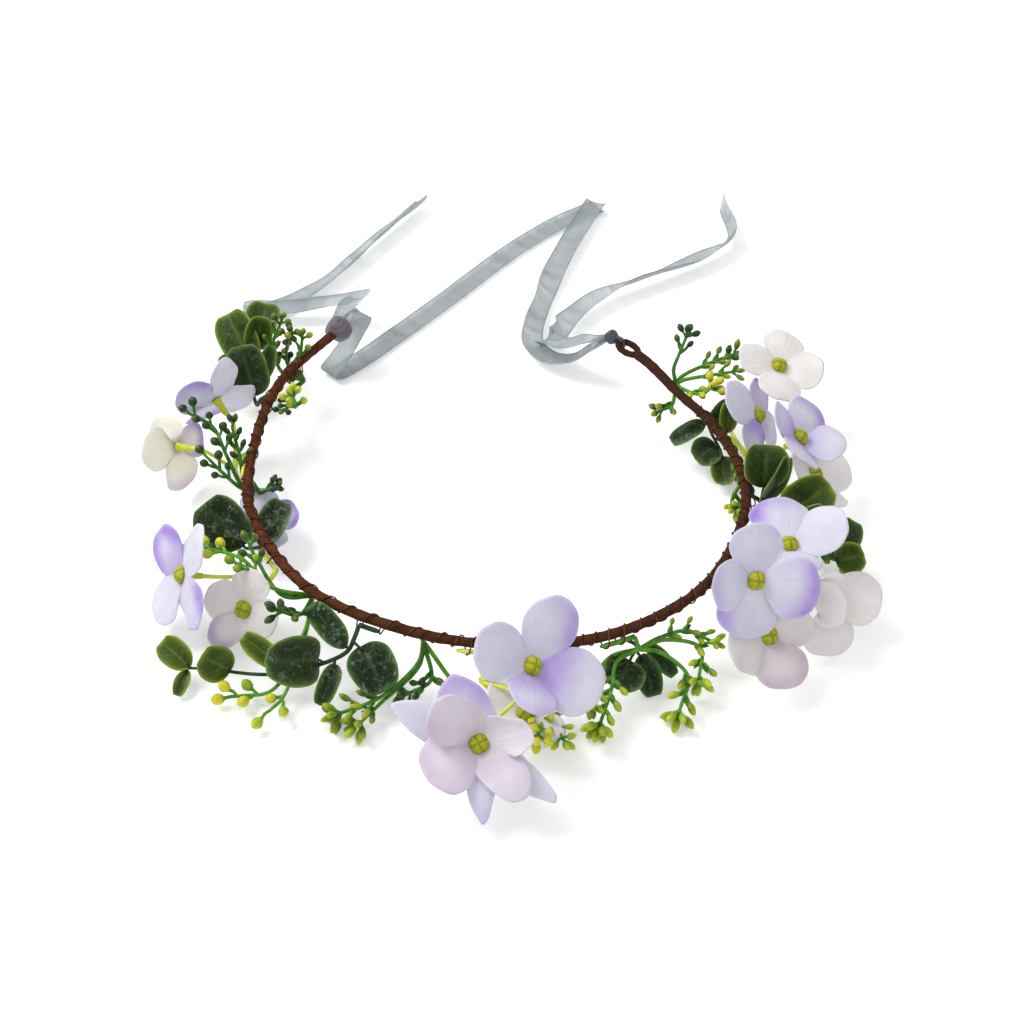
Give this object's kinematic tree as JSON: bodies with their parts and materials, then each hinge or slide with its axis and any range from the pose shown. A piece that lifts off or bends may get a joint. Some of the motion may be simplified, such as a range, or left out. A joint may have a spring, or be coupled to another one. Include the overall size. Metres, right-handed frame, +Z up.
{
  "type": "flower crown",
  "caption": "Springy wire flower crown, open at the back, with cloth hydrangeas, eucalyptus and bud sprigs wired on and an organza ribbon tied to each end.",
  "frame": {"origin": "middle of the footprint on the table, under the lowest buds", "axes": "+Z up out of the table and out of the top of the worn crown, -Y to the front flowers, +Y to the ribbon tails behind"},
  "size_m": [0.2661, 0.352, 0.0567],
  "materials": {
    "core_wire": "drawn steel wire",
    "paper_tape": "matte crepe paper",
    "binding_wire": "dark brown coated wire",
    "petals_lilac": "printed satin cloth, lilac on white",
    "petals_cream": "printed satin cloth, cream",
    "pip": "moulded, yellow green",
    "flower_stem": "moulded, light green",
    "eucalyptus_leaf": "frosted dark green",
    "bud_sprig": "moulded, glossy green",
    "ribbon": "sheer organza"
  },
  "bodies": {
    "left_half": {"core_wire_left": "core_wire", "paper_tape_left": "paper_tape", "binding_wire_left": "binding_wire", "pip_front_1": "pip", "pip_front_2": "pip", "pip_front_4": "pip", "pip_left_1": "pip", "pip_left_2": "pip", "pip_left_3": "pip", "pip_left_4": "pip", "pip_left_5": "pip", "hydrangea_stem_front": "flower_stem", "hydrangea_stem_left_lower": "flower_stem", "hydrangea_stem_left_upper": "flower_stem", "eucalyptus_left_top": "eucalyptus_leaf", "eucalyptus_left_mid": "eucalyptus_leaf", "eucalyptus_left_low": "eucalyptus_leaf", "bud_sprig_left_top": "bud_sprig", "bud_sprig_left_mid": "bud_sprig", "bud_sprig_left_low": "bud_sprig", "bud_sprig_front": "bud_sprig", "ribbon_left": "ribbon"},
    "right_half": {"core_wire_right": "core_wire", "paper_tape_right": "paper_tape", "binding_wire_right": "binding_wire", "pip_right_1": "pip", "pip_right_2": "pip", "pip_right_3": "pip", "pip_right_4": "pip", "pip_right_5": "pip", "pip_right_6": "pip", "pip_right_7": "pip", "pip_right_8": "pip", "hydrangea_stem_right_upper": "flower_stem", "hydrangea_stem_right_lower": "flower_stem", "eucalyptus_front_right": "eucalyptus_leaf", "eucalyptus_right_inner": "eucalyptus_leaf", "eucalyptus_right_outer": "eucalyptus_leaf", "bud_sprig_front_right": "bud_sprig", "bud_sprig_right_top": "bud_sprig", "bud_sprig_right_low": "bud_sprig", "ribbon_right": "ribbon"},
    "blossom_right_1": {"petals_right_1": "petals_cream"},
    "blossom_right_2": {"petals_right_2": "petals_lilac"},
    "blossom_right_3": {"petals_right_3": "petals_lilac"},
    "blossom_right_4": {"petals_right_4": "petals_cream"},
    "blossom_right_5": {"petals_right_5": "petals_lilac"},
    "blossom_right_6": {"petals_right_6": "petals_lilac"},
    "blossom_right_7": {"petals_right_7": "petals_cream"},
    "blossom_right_8": {"petals_right_8": "petals_cream"},
    "blossom_front_1": {"petals_front_1": "petals_lilac"},
    "blossom_front_2": {"petals_front_2": "petals_lilac"},
    "blossom_front_2_back": {"petals_front_2_back": "petals_lilac"},
    "blossom_front_4": {"petals_front_4": "petals_cream"},
    "blossom_left_1": {"petals_left_1": "petals_lilac"},
    "blossom_left_2": {"petals_left_2": "petals_lilac"},
    "blossom_left_3": {"petals_left_3": "petals_lilac"},
    "blossom_left_4": {"petals_left_4": "petals_cream"},
    "blossom_left_5": {"petals_left_5": "petals_lilac"}
  },
  "joints": [
    {"name": "hoop_flex", "type": "hinge", "parent": "left_half", "child": "right_half", "pos_m": [0.01079, -0.11664, 0.024], "axis": [0, 0, 1], "range_deg": [-10, 12], "stiffness_Nm_per_rad": 0.1},
    {"name": "turn_right_1", "type": "hinge", "parent": "right_half", "child": "blossom_right_1", "pos_m": [0.10945, 0.0227, 0.03], "axis": [0.2424, -0.3462, 0.9063], "range_deg": [-8, 8]},
    {"name": "turn_right_2", "type": "hinge", "parent": "right_half", "child": "blossom_right_2", "pos_m": [0.10045, 0.0047, 0.02], "axis": [0.8403, -0.2095, 0.5], "range_deg": [-8, 8]},
    {"name": "turn_right_3", "type": "hinge", "parent": "right_half", "child": "blossom_right_3", "pos_m": [0.11245, -0.0203, 0.031], "axis": [0.633, -0.1116, 0.766], "range_deg": [-20, 20]},
    {"name": "turn_right_4", "type": "hinge", "parent": "right_half", "child": "blossom_right_4", "pos_m": [0.11945, -0.0233, 0.015], "axis": [0.683, -0.183, 0.7071], "range_deg": [-12, 12]},
    {"name": "turn_right_5", "type": "hinge", "parent": "right_half", "child": "blossom_right_5", "pos_m": [0.10245, -0.0763, 0.031], "axis": [0.0588, -0.1261, 0.9903], "range_deg": [-20, 20]},
    {"name": "turn_right_6", "type": "hinge", "parent": "right_half", "child": "blossom_right_6", "pos_m": [0.08745, -0.1023, 0.04], "axis": [0.2531, -0.7791, 0.5736], "range_deg": [-20, 20]},
    {"name": "turn_right_7", "type": "hinge", "parent": "right_half", "child": "blossom_right_7", "pos_m": [0.11445, -0.0903, 0.016], "axis": [0.1664, -0.6209, 0.766], "range_deg": [-20, 20]},
    {"name": "turn_right_8", "type": "hinge", "parent": "right_half", "child": "blossom_right_8", "pos_m": [0.09345, -0.1073, 0.018], "axis": [0.2717, -0.5826, 0.766], "range_deg": [-20, 20]},
    {"name": "turn_front_1", "type": "hinge", "parent": "left_half", "child": "blossom_front_1", "pos_m": [0.01245, -0.1383, 0.038], "axis": [0.4545, -0.5417, 0.7071], "range_deg": [-20, 20]},
    {"name": "turn_front_2", "type": "hinge", "parent": "left_half", "child": "blossom_front_2", "pos_m": [-0.00455, -0.1573, 0.022], "axis": [-0.05, -0.5714, 0.8192], "range_deg": [-20, 20]},
    {"name": "turn_front_2_back", "type": "hinge", "parent": "left_half", "child": "blossom_front_2_back", "pos_m": [-0.00451, -0.15684, 0.02134], "axis": [-0.05, -0.5714, 0.8192], "range_deg": [-20, 20]},
    {"name": "turn_front_4", "type": "hinge", "parent": "left_half", "child": "blossom_front_4", "pos_m": [0.01045, -0.1363, 0.012], "axis": [0.171, -0.2962, 0.9397], "range_deg": [-20, 20]},
    {"name": "turn_left_1", "type": "hinge", "parent": "left_half", "child": "blossom_left_1", "pos_m": [-0.10855, -0.0843, 0.024], "axis": [-0.8818, -0.2865, 0.3746], "range_deg": [-20, 20]},
    {"name": "turn_left_2", "type": "hinge", "parent": "left_half", "child": "blossom_left_2", "pos_m": [-0.08755, -0.0913, 0.014], "axis": [-0.383, -0.6634, 0.6428], "range_deg": [-12, 12]},
    {"name": "turn_left_3", "type": "hinge", "parent": "left_half", "child": "blossom_left_3", "pos_m": [-0.10655, 0.0027, 0.03], "axis": [-0.5826, 0.6943, 0.4226], "range_deg": [-12, 12]},
    {"name": "turn_left_4", "type": "hinge", "parent": "left_half", "child": "blossom_left_4", "pos_m": [-0.12055, -0.0133, 0.02], "axis": [-0.827, 0.4584, -0.3256], "range_deg": [-8, 12]},
    {"name": "turn_left_5", "type": "hinge", "parent": "left_half", "child": "blossom_left_5", "pos_m": [-0.08555, -0.0443, 0.011], "axis": [0, -0.1392, 0.9903], "range_deg": [-20, 20]}
  ]
}
